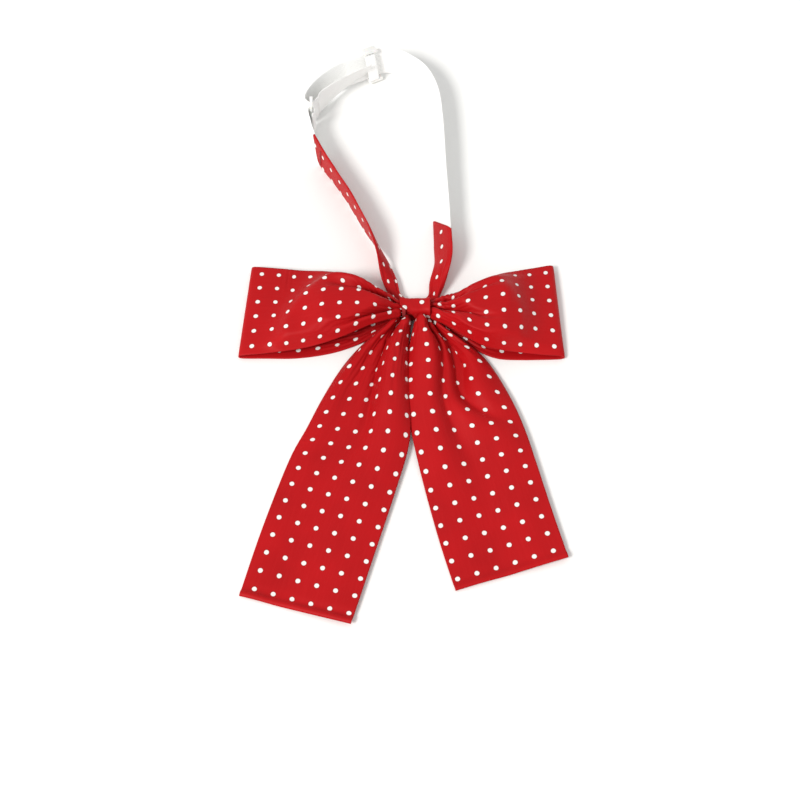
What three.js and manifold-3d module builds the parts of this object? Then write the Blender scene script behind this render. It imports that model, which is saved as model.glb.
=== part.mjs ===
// A pre-tied bow tie with two wings, two long tails and an adjustable neckband,
// lying on its back. Millimetres, +Z up, +Y towards the neckband.
// The origin is the middle of the knot's back face, which lies on the table.
import * as THREE from "three";
import { mergeVertices } from "three/addons/utils/BufferGeometryUtils.js";
import Module from "manifold-3d";

// ---- driving dimensions ----
const gap = 0.3; // clearance between pieces that touch
const tuck = 0.4; // cloth enters a gathered head this far inside its ends

const ribbon = { width: 66, thick: 0.9 }; // two plies of the dotted cloth

const knot = { width: 18, depth: 11.2, height: 15, wall: 1, corner: 1.6 };
const waist = { depth: 6.4, bottom: 5.6, top: 12.2, corner: 1.5 }; // cloth inside the knot
const thread = { thick: 0.8, width: 2.4, inset: 1.2 }; // gathering thread
const tab = { depth: 8, bottom: 1.4, inset: 0.4 }; // sewn heads of the tails
const seam = { width: 5, thick: 0.4, bottom: 3, top: 11 }; // closes the knot's band

const wing = {
  nose: 4.6, // radius of the pinched end, which is its hinge
  noseInset: 1.1, // the pinched end is this far inside the knot's sides
  noseZ: 9,
  crest: 17, // height of the puffed front layer
  floor: 0.7, // height of the middle of the back layer
  foldZ: 6, // height of the outer fold
  bundle: 4, // thickest the gathered cloth gets
  flare: 24, // how soon the cloth opens out
  lowShare: 0.93, // the lower half is this much narrower
  skew: 0.028, // the outer fold leans by this share of the reach
};
const wingReach = { left: 88, right: 72.5 };

const tail = {
  nose: 2.7, // radius of the gathered head, which is its hinge
  headZ: 3.3,
  inner: 2.6, // near side of the head, from the middle of the knot
  width: 10.8, // of the gathered head
  pleats: 6.4, // how far the gathers stand up at the head
  settle: 26, // how soon the gathers lie down
};

const strap = {
  width: 19,
  thick: 1.8,
  nose: 2.7, // radius of the gathered head, which is its hinge
  headZ: 3.3,
  inset: 4, // the head begins this far in from the knot's end
  headWidth: 11,
};
const band = { width: 18.5, thick: 1.1, sewn: 3 };

const slider = { length: 9, bar: 1.6, rail: 1.8, thick: 1.4, travel: 10 };
const hook = { bar: 1.8, rail: 1.8, pitch: 7, slack: 0.45 };
const tack = { length: 1.8, thick: 0.5, inset: 3.5, from: 4 };

const red = 0xb9141d;
const white = 0xf4f4f0;

// ---- derived places ----
const seatY = knot.depth / 2 + gap; // heads of tails and straps lie past this
const tailHinge = { y: -(seatY + tail.nose), z: tail.headZ };
const strapHinge = { y: seatY + strap.nose, z: strap.headZ };
const wingHingeX = knot.width / 2 + gap + wing.nose;
const wingNoseWidth = knot.depth - 2 * wing.noseInset;

const wasm = await Module();
wasm.setup();

const root = new THREE.Group();

// ---- helpers ----
const V = (x, y, z) => new THREE.Vector3(x, y, z);
const rad = THREE.MathUtils.degToRad;
const smooth = THREE.MathUtils.smoothstep;

function solid(geometry) {
  const bare = geometry.clone();
  bare.deleteAttribute("normal");
  bare.deleteAttribute("uv");
  const g = mergeVertices(bare, 1e-4);
  return new wasm.Manifold(
    new wasm.Mesh({
      numProp: 3,
      vertProperties: new Float32Array(g.attributes.position.array),
      triVerts: new Uint32Array(g.index.array),
    }),
  );
}

function joined(...parts) {
  const m = parts.map(solid).reduce((a, b) => a.add(b)).getMesh();
  const g = new THREE.BufferGeometry();
  g.setAttribute("position", new THREE.BufferAttribute(m.vertProperties, 3));
  g.setIndex(new THREE.BufferAttribute(m.triVerts, 1));
  g.computeVertexNormals();
  return g;
}

// A box of nu x nv cells whose corners (a 0..1, b -1..1, c -1..1) go to place(a, b, c).
// Its faces are turned over if the placing mirrors it.
function bent(nu, nv, place) {
  const g = new THREE.BoxGeometry(1, 2, 2, nu, nv, 1);
  const p = g.attributes.position;
  for (let i = 0; i < p.count; i++) {
    const v = place(p.getX(i) + 0.5, p.getY(i), p.getZ(i));
    p.setXYZ(i, v.x, v.y, v.z);
  }
  if (solid(g).volume() < 0) g.index.array.reverse();
  return g;
}

function box(x0, x1, y0, y1, z0, z1) {
  const g = new THREE.BoxGeometry(x1 - x0, y1 - y0, z1 - z0);
  return g.translate((x0 + x1) / 2, (y0 + y1) / 2, (z0 + z1) / 2);
}

// Draws a rounded rectangle into a shape or a hole's path.
function roundedRect(s, y0, y1, z0, z1, r) {
  s.absarc(y1 - r, z0 + r, r, -Math.PI / 2, 0);
  s.absarc(y1 - r, z1 - r, r, 0, Math.PI / 2);
  s.absarc(y0 + r, z1 - r, r, Math.PI / 2, Math.PI);
  s.absarc(y0 + r, z0 + r, r, Math.PI, 1.5 * Math.PI);
  return s;
}

// A shape drawn in Y and Z, reaching from x0 to x1.
function alongX(shape, x0, x1) {
  const options = { depth: x1 - x0, bevelEnabled: false, curveSegments: 3 };
  const g = new THREE.ExtrudeGeometry(shape, options);
  return g.rotateX(Math.PI / 2).rotateZ(Math.PI / 2).translate(x0, 0, 0);
}

function sleeve(y, z0, z1, wall, corner, x0, x1) {
  const s = roundedRect(new THREE.Shape(), -y, y, z0, z1, corner);
  const r = Math.max(corner - wall, gap);
  s.holes.push(roundedRect(new THREE.Path(), wall - y, y - wall, z0 + wall, z1 - wall, r));
  return alongX(s, x0, x1);
}

// A round bar that lies along the hinge it turns on.
function nose(radius, length, alongAxisX, centre) {
  const g = new THREE.CylinderGeometry(radius, radius, length, 24);
  if (alongAxisX) g.rotateZ(Math.PI / 2);
  return g.translate(centre.x, centre.y, centre.z);
}

function add(name, geometry, colour, roughness = 0.8) {
  const material = new THREE.MeshStandardMaterial({ color: colour, roughness, metalness: 0 });
  const mesh = new THREE.Mesh(geometry, material);
  mesh.name = name;
  root.add(mesh);
}

// ---- knot: a sewn loop of ribbon round the gathered waist ----
function makeKnot() {
  const half = knot.width / 2;
  const outer = knot.depth / 2;
  const loop = sleeve(outer, 0, knot.height, knot.wall, knot.corner, -half, half);
  add("knot_band", loop, red);
  const core = waist.depth / 2;
  const section = new THREE.Shape();
  roundedRect(section, -core, core, waist.bottom, waist.top, waist.corner);
  add("wing_waist", alongX(section, -half, half), red);
  const out = gap + thread.thick;
  for (const [name, side] of [["left", -1], ["right", 1]]) {
    const x = side * (half - thread.inset - thread.width / 2);
    const [x0, x1] = [x - thread.width / 2, x + thread.width / 2];
    const [z0, z1] = [waist.bottom - out, waist.top + out];
    const wrap = sleeve(core + out, z0, z1, thread.thick, waist.corner, x0, x1);
    add(name + "_gather_thread", wrap, red);
  }
  const tabTop = waist.bottom - out - gap;
  const end = half - tab.inset;
  add("tail_tab", box(-end, end, -tab.depth / 2, tab.depth / 2, tab.bottom, tabTop), red);
  const [s, y] = [seam.width / 2, outer + gap];
  add("knot_seam", box(-s, s, y, y + seam.thick, seam.bottom, seam.top), red);
}

// ---- wings: each a flattened loop, pinched at the knot and folded at its outer end ----
function wingHalf(d) {
  const pinched = wingNoseWidth / 2 - tuck;
  const opened = 1 - Math.exp(-Math.max(d, 0) / wing.flare);
  return pinched + (ribbon.width / 2 - pinched) * opened;
}

// The loop seen from below: [distance out from the hinge, height], front layer first.
function wingProfile(reach) {
  const z = wing.noseZ;
  const points = [
    [0, z + 2.5],
    [8, z + 4.2],
    [reach * 0.34, wing.crest],
    [reach * 0.62, wing.crest - 1.4],
    [reach * 0.88, wing.foldZ + 2.4],
    [reach - 1.1, wing.foldZ + 1.3],
    [reach, wing.foldZ],
    [reach - 1.3, wing.foldZ - 1.3],
    [reach * 0.8, wing.floor + 1.6],
    [reach * 0.5, wing.floor],
    [reach * 0.3, wing.floor + 1],
    [12, z - 3.4],
    [5, z - 1.6],
    [0, z - 2.3],
  ];
  return new THREE.SplineCurve(points.map(([d, h]) => new THREE.Vector2(d, h)));
}

function makeWing(name, side, reach) {
  const profile = wingProfile(reach);
  const loop = bent(56, 8, (a, b, c) => {
    const at = profile.getPointAt(a);
    const t = profile.getTangentAt(a);
    const half = wingHalf(at.x);
    const thick = Math.min(wing.bundle, (ribbon.thick * ribbon.width) / 2 / half);
    const out = (c * thick) / 2;
    const d = (at.x - t.y * out) * (1 + (wing.skew * b * at.x) / reach);
    const y = b * half * (b < 0 ? wing.lowShare : 1);
    return V(side * (wingHingeX + d), y, at.y + t.x * out);
  });
  const pinch = nose(wing.nose, wingNoseWidth, false, V(side * wingHingeX, 0, wing.noseZ));
  add(name, joined(loop, pinch), red);
}

// ---- tails: ribbon spread from a gathered head to its full width ----
// The middle line is [away from the knot's middle, down from the hinge].
const tails = {
  left: {
    side: -1,
    spread: 42, // how soon the ribbon opens out
    middle: [[17, 12], [25, 36.4], [32, 70], [41.3, 100], [66.3, 181.4]],
  },
  right: {
    side: 1,
    spread: 30,
    middle: [[13.5, 11.5], [20, 31.5], [30, 71.5], [42.3, 118], [53, 160]],
  },
};

// The tails part along this line, given d down from the hinge, and lie clear of it.
const partX = (d) => -4.7 * smooth(d, 0, 26);

// Each tail's outer edge stays inside this line near its head, so that it lifts past
// the wing: x out from the knot's middle at the hinge, and x gained per millimetre down.
const underWing = { x: 17, slope: 0.9 };

function makeTail(name, { side, spread, middle }) {
  const headX = tail.inner + tail.width / 2;
  const points = [[headX, 0], ...middle].map(([x, d]) => V(side * x, tailHinge.y - d, 0));
  const line = new THREE.CatmullRomCurve3(points);
  const length = line.getLength();
  const sheet = bent(34, 8, (a, b, c) => {
    const at = line.getPointAt(a);
    const t = line.getTangentAt(a);
    const opened = 1 - Math.exp(-(((a * length) / spread) ** 1.3));
    const gathered = tail.width / 2 - tuck;
    const full = gathered + (ribbon.width / 2 - gathered) * opened;
    const down = tailHinge.y - at.y;
    const towardsOther = (side * (at.x - partX(down)) - 2 * gap) / Math.abs(t.y);
    const towardsWing =
      (underWing.x + underWing.slope * down - side * at.x) /
      (Math.abs(t.y) + underWing.slope * side * t.x);
    const half = Math.min(full, b * side < 0 ? towardsOther : towardsWing);
    const tucked = 1 - smooth(a * length, 0, 9);
    const stand = tail.pleats * Math.exp(-Math.max(a * length - 4, 0) / tail.settle);
    const top = ribbon.thick + stand * (1 - 0.65 * b * b) - 2.2 * tucked * (1 - b * b);
    const [x, y] = [at.x - t.y * b * half, at.y + t.x * b * half];
    return V(x, y, c < 0 ? 1.2 * tucked : top);
  });
  const head = nose(tail.nose, tail.width, true, V(side * headX, tailHinge.y, tailHinge.z));
  add(name, joined(sheet, head), red);
}

// ---- neckband: strips that stand on edge, described by stations ----
// A station is [x, y, lean, lift, share]: a point of the strip's middle, the lean of its
// width above the table in degrees on its outer side, the height of its lower edge and
// the share of the full width there. Stations run from the right of the knot round the
// neck to the left of the knot.
function stripAt(stations, width) {
  const curve = (pick) => new THREE.CatmullRomCurve3(stations.map(pick));
  const path = curve(([x, y, lean, lift, share = 1]) =>
    V(x, y, lift + ((width * share) / 2) * Math.sin(rad(lean))),
  );
  const shape = curve(([, , lean, , share = 1]) => V(lean, width * share, 0));
  return (a) => {
    const t = path.getTangent(a);
    const s = shape.getPoint(a);
    const across = V(t.y, -t.x, 0).normalize().multiplyScalar(Math.cos(rad(s.x)));
    across.z = Math.sin(rad(s.x));
    const inward = V(0, 0, 0).crossVectors(across, t).normalize();
    return { centre: path.getPoint(a), across, inward, width: s.y };
  };
}

function strip(stations, width, thick, cells) {
  const at = stripAt(stations, width);
  return bent(cells, 2, (a, b, c) => {
    const f = at(a);
    return f.centre
      .addScaledVector(f.across, (b * f.width) / 2)
      .addScaledVector(f.inward, (c * thick) / 2);
  });
}

// A bar of stitches across a strap's outer face, near the end at a = end.
function makeTack(name, stations, end, reach) {
  const at = stripAt(stations, strap.width);
  const g = bent(2, 4, (a, b, c) => {
    const from = tack.from / reach + (a * tack.length) / reach;
    const f = at(Math.abs(end - from));
    const out = strap.thick / 2 + gap + (tack.thick * (1 - c)) / 2;
    return f.centre
      .addScaledVector(f.across, b * (f.width / 2 - tack.inset))
      .addScaledVector(f.inward, -out);
  });
  add(name, g, red);
}

const strapHead = (strap.headWidth - 2 * tuck) / strap.width;
const strapHeadX = knot.width / 2 - strap.inset + strap.headWidth / 2;
const rightStrap = [
  [strapHeadX, strapHinge.y, 0, strap.headZ, strapHead],
  [11.8, strapHinge.y + 5, 2, strap.headZ + 0.3, 0.37],
  [14.2, strapHinge.y + 15, 35, 2.9, 0.66],
  [17.4, 36, 58, 1.2, 0.95],
  [17.2, 52, 64, 0.7],
  [16.3, 68, 68, 0.7],
];
const leftStrap = [
  [-58.4, 128, 104, 0.6],
  [-45, 98, 110, 0.7],
  [-33, 72, 112, 1.6],
  [-25.5, 54, 100, 3, 0.9],
  [-20.5, 38, 62, 3.8, 0.74],
  [-15.4, strapHinge.y + 14, 22, 3.4, 0.5],
  [-12.4, strapHinge.y + 5, 2, strap.headZ + 0.3, 0.37],
  [-strapHeadX, strapHinge.y, 0, strap.headZ, strapHead],
];

function makeStrap(name, side, stations) {
  const centre = V(side * strapHeadX, strapHinge.y, strapHinge.z);
  const head = nose(strap.nose, strap.headWidth, true, centre);
  add(name, joined(strip(stations, strap.width, strap.thick, 44), head), red);
}

// The band runs straight past the slider, in this direction and through this point.
const sliderAt = { x: -27.5, y: 188.75, lean: 70 };
const run = V(-2, -1, 0).normalize();
const sliderFront = band.thick / 2 + gap + slider.thick;
// Lifts the band's lower edge so that the slider's corner clears the table.
const railDrop = slider.rail + 2 * gap + sliderFront * Math.cos(rad(sliderAt.lean));
const onRun = (s, inwards = 0) => [
  sliderAt.x + run.x * s - run.y * inwards,
  sliderAt.y + run.y * s + run.x * inwards,
  sliderAt.lean,
  railDrop,
];

// Depths inwards from the band's middle, where it passes the slider's middle bar.
const barNear = 1.5 * band.thick + 2 * gap;
const barFar = barNear + slider.thick;
const loopFar = barFar + gap + band.thick;
const loopEnd = slider.bar / 2 + gap + band.thick;
const returnStart = loopEnd + band.sewn + slider.travel + gap;

// The hook's two prongs, seen from above.
const spine = V(-65.7, 150.6, 0);
const tongue = V(-65.5, spine.y - hook.pitch, 0);
const wrapInner = hook.bar / 2 + hook.slack;
const bendR = 4.2; // the long band's bend round the hook
const bendY = spine.y - wrapInner - gap - band.thick / 2 + bendR;

const longBand = [
  [16.25, 68 + gap, 68, 0.7],
  [16.3, 100, 68, 0.7],
  [15.6, 138, 72, 0.8],
  [12.8, 164, 72, 1.2],
  [5.5, 181, 70, 1.8],
  [-5, 190, 70, railDrop],
  [-14.5, 192.8, 70, railDrop],
  onRun(-6.5),
  onRun(-3),
  onRun(0),
  onRun(8),
  onRun(15),
  onRun(21),
  [-57, 171.3, 76, railDrop],
  [-65.6, 162, 84, railDrop],
  [spine.x - bendR, bendY + 0.4, 90, railDrop],
  [spine.x, bendY - bendR, 90, railDrop],
  [spine.x + bendR, bendY + 0.4, 90, railDrop],
  [-56.8, 161, 90, railDrop],
  [-49.5, 169, 80, railDrop],
  onRun(returnStart, (barFar + loopFar) / 2 + gap),
];

// Turns geometry drawn along the band at the slider (x on the run, y across the band,
// z outwards) into place.
function atSlider(geometry) {
  const f = stripAt([onRun(-5), onRun(0), onRun(5)], band.width)(0.5);
  const frame = new THREE.Matrix4().makeBasis(run, f.across, f.inward.negate());
  return geometry.applyMatrix4(frame.setPosition(f.centre));
}

// The slider: two outer bars outside the band and one inside it, joined by two rails.
function makeSlider() {
  const inner = band.width / 2 + gap;
  const outer = inner + slider.rail;
  const half = slider.length / 2;
  const front = [sliderFront - slider.thick, sliderFront];
  const parts = [
    box(-half, slider.bar - half, -outer, outer, ...front),
    box(half - slider.bar, half, -outer, outer, ...front),
    box(-slider.bar / 2, slider.bar / 2, -outer, outer, -barFar, -barNear),
    box(-half, half, inner, outer, -barFar, front[1]),
    box(-half, half, -outer, -inner, -barFar, front[1]),
  ];
  add("slider", atSlider(joined(...parts)), white, 0.35);
}

// The sewn end of the long band, a flat loop round the slider's inner bar.
function makeEndLoop() {
  const half = band.width / 2;
  const t = band.thick;
  const [near, far] = [-(t / 2 + gap), -loopFar];
  const parts = [
    box(-loopEnd, loopEnd, -half, half, near - t, near),
    box(-loopEnd, t - loopEnd, -half, half, far, near),
    box(loopEnd - t, loopEnd, -half, half, far, near),
    box(-loopEnd, loopEnd + band.sewn, -half, half, far, far + t),
  ];
  add("band_end_loop", atSlider(joined(...parts)), white);
}

// The hook: two prongs hanging from one bridge, one in each band's loop.
function makeHook() {
  const r = hook.bar / 2;
  const low = railDrop;
  const top = low + band.width + gap;
  const parts = [spine, tongue].map((p) =>
    box(p.x - r, p.x + r, p.y - r, p.y + r, low, top + hook.rail),
  );
  parts.push(
    box(tongue.x - r, tongue.x + r, tongue.y - r, spine.y + r, top, top + hook.rail),
  );
  add("hook", joined(...parts), white, 0.35);
}

// The short band: out of the left strap and in a loop round the hook's tongue.
function makeShortBand() {
  const outer = wrapInner + band.thick;
  const reach = 5;
  const ring = new THREE.Shape();
  ring.moveTo(-outer, -reach);
  ring.lineTo(outer, -reach);
  ring.absarc(0, 0, outer, 0, Math.PI);
  const hole = new THREE.Path();
  hole.moveTo(-wrapInner, band.thick - reach);
  hole.lineTo(wrapInner, band.thick - reach);
  hole.absarc(0, 0, wrapInner, 0, Math.PI);
  ring.holes.push(hole);
  const options = { depth: band.width, bevelEnabled: false, curveSegments: 10 };
  const loop = new THREE.ExtrudeGeometry(ring, options);
  const stations = [
    [tongue.x + 0.3, tongue.y - reach + band.thick / 2, 90, railDrop],
    [-61.7, 135.2, 98, 1.4],
    [-58.6, 128.1 + gap, 104, 0.6],
  ];
  loop.translate(tongue.x, tongue.y, railDrop);
  add("short_band", joined(strip(stations, band.width, band.thick, 14), loop), white);
}

makeKnot();
makeWing("left_wing", -1, wingReach.left);
makeWing("right_wing", 1, wingReach.right);
makeTail("left_tail", tails.left);
makeTail("right_tail", tails.right);
makeStrap("right_strap", 1, rightStrap);
makeStrap("left_strap", -1, leftStrap);
makeTack("right_strap_tack", rightStrap, 1, 62);
makeTack("left_strap_tack", leftStrap, 0, 232);
add("long_band", strip(longBand, band.width, band.thick, 110), white);
makeSlider();
makeEndLoop();
makeHook();
makeShortBand();

export default root;
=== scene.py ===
import math

import bmesh
import bpy
import numpy as np
from bpy.props import FloatProperty, FloatVectorProperty, PointerProperty
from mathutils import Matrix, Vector


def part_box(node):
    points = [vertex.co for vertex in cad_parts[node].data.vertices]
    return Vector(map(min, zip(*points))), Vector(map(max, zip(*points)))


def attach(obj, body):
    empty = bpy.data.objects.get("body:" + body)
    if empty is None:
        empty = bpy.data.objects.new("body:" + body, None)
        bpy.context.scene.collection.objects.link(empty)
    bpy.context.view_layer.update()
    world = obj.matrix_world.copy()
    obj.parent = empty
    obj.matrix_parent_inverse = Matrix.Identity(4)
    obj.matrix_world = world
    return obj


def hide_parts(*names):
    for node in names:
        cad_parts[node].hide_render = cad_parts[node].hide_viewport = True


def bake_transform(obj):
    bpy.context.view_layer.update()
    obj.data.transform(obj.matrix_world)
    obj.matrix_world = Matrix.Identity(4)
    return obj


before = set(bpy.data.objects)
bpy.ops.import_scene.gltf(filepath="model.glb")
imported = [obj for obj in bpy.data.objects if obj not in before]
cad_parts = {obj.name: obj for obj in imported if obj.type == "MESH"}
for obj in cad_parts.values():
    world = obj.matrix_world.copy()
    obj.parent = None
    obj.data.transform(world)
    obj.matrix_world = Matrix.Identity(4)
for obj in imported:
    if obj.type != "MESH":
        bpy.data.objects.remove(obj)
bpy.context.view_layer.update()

bl_info = {
    "name": "Dotted bow tie",
    "version": (1, 0, 0),
    "blender": (4, 5, 0),
    "location": "3D View > Sidebar > Bow tie",
    "description": "Makes a pre-tied dotted bow tie with two long tails and an adjustable neckband",
    "category": "Add Mesh",
}

MM = 0.001
LEFT, RIGHT = -1, 1

# Lengths in mm.
LYING = 0.6  # height of the middle of cloth that lies on the table
KNOT_HALF = 9.0  # half of the knot's width
KNOT_CLOTH = 0.9  # thickness of the knot's band
STRAP_WIDTH = 19.0
WING_COLUMNS, WING_SPACING = 45, 1.6
TAIL_COLUMNS, TAIL_SPACING = 45, 1.7
FULL_DOTS = 0.982  # share of the ribbon's width between its rolled edges

# Cloth that settles: how many rounds, how strongly it keeps to the shape it was laid in,
# how far it drops in a round, and how much of a bend it opens.
ROUNDS, PULL, DROP, OPENING = 70, 0.14, 0.01, 0.02

# The stage: the camera and the lamp, in metres and degrees.
CAMERA_AT, CAMERA_TILT, LENS = (-0.00896, -0.5329, 0.8295), 29.8, 73.4
LAMP_TOWARDS, LAMP_DISTANCE, LAMP_WIDTH = (-0.78, -0.72, 1.12), 5.0, 1.5
LAMP_COLOUR = (1.0, 0.985, 0.965)


# ---- settings that a user would change ----
class BowClothSettings(bpy.types.PropertyGroup):
    ribbon_width: FloatProperty(
        name="Ribbon width", description="Width of the wings' and tails' ribbon",
        default=0.066, min=0.02, unit="LENGTH",
    )
    thickness: FloatProperty(
        name="Cloth thickness", description="Thickness of the two plies together",
        default=0.0009, min=0.0002, unit="LENGTH",
    )
    dot_pitch: FloatProperty(
        name="Dot pitch", description="Distance from one woven dot to the next",
        default=0.011, min=0.003, unit="LENGTH",
    )
    dot_width: FloatProperty(
        name="Dot width", description="Diameter of a woven dot",
        default=0.0027, min=0.0005, unit="LENGTH",
    )
    red: FloatVectorProperty(
        name="Ground colour", description="Colour of the cloth between the dots",
        default=(0.47, 0.0042, 0.0066), min=0, max=1, subtype="COLOR",
    )
    dots: FloatVectorProperty(
        name="Dot colour", description="Colour of the dots",
        default=(0.86, 0.83, 0.80), min=0, max=1, subtype="COLOR",
    )


class BowBandSettings(bpy.types.PropertyGroup):
    width: FloatProperty(
        name="Band width", description="Width of the white elastic band",
        default=0.0185, min=0.005, unit="LENGTH",
    )
    thickness: FloatProperty(
        name="Band thickness", description="Thickness of the white elastic band",
        default=0.0011, min=0.0004, unit="LENGTH",
    )
    white: FloatVectorProperty(
        name="Band colour", description="Colour of the elastic",
        default=(0.97, 0.97, 0.955), min=0, max=1, subtype="COLOR",
    )
    plastic: FloatVectorProperty(
        name="Slider colour", description="Colour of the moulded slider and hook",
        default=(0.90, 0.89, 0.86), min=0, max=1, subtype="COLOR",
    )


class BowStageSettings(bpy.types.PropertyGroup):
    floor: FloatVectorProperty(
        name="Floor colour", description="Colour of the plain floor",
        default=(0.93, 0.93, 0.915), min=0, max=1, subtype="COLOR",
    )
    key: FloatProperty(
        name="Main light", description="Power of the large soft lamp",
        default=178.0,
    )
    sky: FloatProperty(
        name="Room light", description="Strength of the even light from all round",
        default=0.70, min=0,
    )


# ---- curves, grids and cloth ----
def smooth(x, start, end):
    """0 before start and 1 after end, with a cubic S between them."""
    t = np.clip((x - start) / (end - start), 0, 1)
    return t * t * (3 - 2 * t)


def glide(values, t):
    """Values between evenly numbered stations: each stretch is a cubic that meets the
    stations and has the slope of its neighbours' chord at each of them."""
    v = np.asarray(values, float)
    pad = np.vstack([2 * v[0] - v[1], v, 2 * v[-1] - v[-2]])
    i = np.clip(t.astype(int), 0, len(v) - 2)
    x = (t - i)[:, None]
    a, b, c, d = pad[i], pad[i + 1], pad[i + 2], pad[i + 3]
    return b + 0.5 * x * ((c - a) + x * ((2 * a - 5 * b + 4 * c - d) + x * (3 * (b - c) + d - a)))


def even(line, count):
    """Points evenly spaced by distance along the first axis of a grid of lines. The
    distance is the mean over the lines, so that each row stays a row."""
    step = np.linalg.norm(np.diff(line, axis=0), axis=-1)
    step = step.mean(axis=1) if step.ndim > 1 else step
    dist = np.concatenate([[0], np.cumsum(step)])
    want = np.linspace(0, dist[-1], count)
    i = np.clip(np.searchsorted(dist, want, "right") - 1, 0, len(dist) - 2)
    x = (want - dist[i]) / (dist[i + 1] - dist[i])
    x = x.reshape((-1,) + (1,) * (line.ndim - 1))
    return line[i] * (1 - x) + line[i + 1] * x, dist[-1]


def pleated(stations, columns, spacing, puff=None):
    """Cloth between two edges. At each station the row is a straight line from one edge to
    the other, raised by a crown and by ridges and valleys, each a bell curve at its place
    in the row. Rows are then spaced evenly, and so are the points within a row."""
    stations = np.array(stations, float)
    count = len(stations)
    t = np.linspace(0, count - 1, 16 * (count - 1) + 1)
    f = np.linspace(0, 1, 241)
    edge = glide(stations[:, :7], t)
    folds = glide(stations[:, 7:], t).reshape(len(t), -1, 3)
    grid = edge[:, None, :3] * (1 - f)[None, :, None] + edge[:, None, 3:6] * f[None, :, None]
    rise = edge[:, 6, None] * (4 * f * (1 - f))[None] ** 0.8
    for k in range(folds.shape[1]):
        place, height, width = (folds[:, k, c, None] for c in range(3))
        power = np.where(height > 0, 2.6, 1.6)  # ridges are broad, valleys are sharp
        rise = rise + height * np.exp(-(np.abs((f[None] - place) / width) ** power))
    if puff is not None:
        rise = rise + puff(grid, t[:, None], f[None])
    grid[..., 2] += rise
    rows = np.stack([even(row, columns)[0] for row in grid])
    length = even(rows, 2)[1]
    return even(rows, int(length / spacing) + 1)[0], length


def links(p, w, a, b, rest, long, short):
    """Moves the two ends of many links towards their rest length, by the share long where
    a link is too long and short where it is too short."""
    d = p[b] - p[a]
    size = np.linalg.norm(d, axis=-1) + 1e-9
    off = (size - rest) / size
    share = np.where(off > 0, long, short) * off / (w[a] + w[b] + 1e-9)
    move = d * share[..., None]
    p[a] += move * w[a][..., None]
    p[b] -= move * w[b][..., None]


def settle(grid, ds, dq, free, low, high):
    """Lets cloth settle. Each round pulls the cloth weakly towards the shape it was laid in,
    drops it a little, brings the links along, across and aslant the cloth back to their flat
    length, opens folds that are too sharp, and keeps it between its floor and its ceiling.
    ds and dq are the flat distances between rows and columns, and free is 0 where the cloth
    is held and 1 where it moves."""
    p, laid = grid.copy(), grid.copy()
    n, m = p.shape[:2]
    slant = math.hypot(ds, dq)
    whole = slice(None)
    pairs = []
    for k in (0, 1):
        row, next_row = slice(k, n - 1, 2), slice(k + 1, n, 2)
        column, next_column = slice(k, m - 1, 2), slice(k + 1, m, 2)
        pairs += [
            ((row, whole), (next_row, whole), ds, 1.0, 0.35),
            ((whole, column), (whole, next_column), dq, 1.0, 0.35),
            ((row, slice(0, m - 1)), (next_row, slice(1, m)), slant, 0.4, 0.2),
            ((row, slice(1, m)), (next_row, slice(0, m - 1)), slant, 0.4, 0.2),
        ]
    for r in range(ROUNDS):
        weight = PULL * (1.0 - 0.8 * r / ROUNDS)
        p += (laid - p) * (weight * free)[..., None]
        p[..., 2] -= DROP * free
        for a, b, rest, long, short in pairs:
            links(p, free, a, b, rest, long, short)
        bend = np.zeros_like(p)
        bend[1:-1] += (p[:-2] + p[2:]) / 2 - p[1:-1]
        bend[:, 1:-1] += (p[:, :-2] + p[:, 2:]) / 2 - p[:, 1:-1]
        p += bend * (OPENING * free)[..., None]
        p[..., 2] = np.clip(p[..., 2], low, high)
    return p


def sheet_mesh(name, grid, uv, closed=False):
    """A sheet as quads between neighbouring points of a grid, in metres, with its flat
    coordinates as a UV map. A closed one also joins its last row to its first."""
    n, m = grid.shape[:2]
    index = np.arange(n * m).reshape(n, m)
    if closed:
        index = np.vstack([index, index[:1]])
    quads = np.stack([index[:-1, :-1], index[1:, :-1], index[1:, 1:], index[:-1, 1:]], -1)
    mesh = bpy.data.meshes.new(name)
    mesh.from_pydata((grid * MM).reshape(-1, 3).tolist(), [], quads.reshape(-1, 4).tolist())
    layer = mesh.uv_layers.new(name="flat")
    at = np.stack([uv[:-1, :-1], uv[1:, :-1], uv[1:, 1:], uv[:-1, 1:]], 2)
    layer.data.foreach_set("uv", (at * MM).astype(np.float32).ravel())
    mesh.polygons.foreach_set("use_smooth", np.ones(len(mesh.polygons), bool))
    mesh.update()
    obj = bpy.data.objects.new(name, mesh)
    bpy.context.collection.objects.link(obj)
    return obj


def bake(obj):
    """Applies every modifier, so that the mesh is final."""
    graph = bpy.context.evaluated_depsgraph_get()
    made = bpy.data.meshes.new_from_object(obj.evaluated_get(graph))
    obj.modifiers.clear()
    old = obj.data
    obj.data = made
    bpy.data.meshes.remove(old)
    made.name = obj.name
    return obj


def thicken(obj, thickness):
    """Rounds a sheet's curves by subdivision and gives it its thickness."""
    sub = obj.modifiers.new("curves", "SUBSURF")
    sub.levels = sub.render_levels = 1
    sub.boundary_smooth = "PRESERVE_CORNERS"
    wall = obj.modifiers.new("thickness", "SOLIDIFY")
    wall.thickness = thickness
    wall.offset = 0.0
    wall.use_even_offset = False
    bake(obj)
    obj.data.polygons.foreach_set("use_smooth", np.ones(len(obj.data.polygons), bool))


def dress(obj, material):
    obj.data.materials.clear()
    obj.data.materials.append(material)


def place_piece(obj, material, body=None, node=None):
    """Gives a piece its material and the body it moves with, and hides the CAD node that it stands
    for."""
    dress(obj, material)
    if body is not None:
        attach(obj, body)
    if node is not None:
        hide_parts(node)


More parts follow.
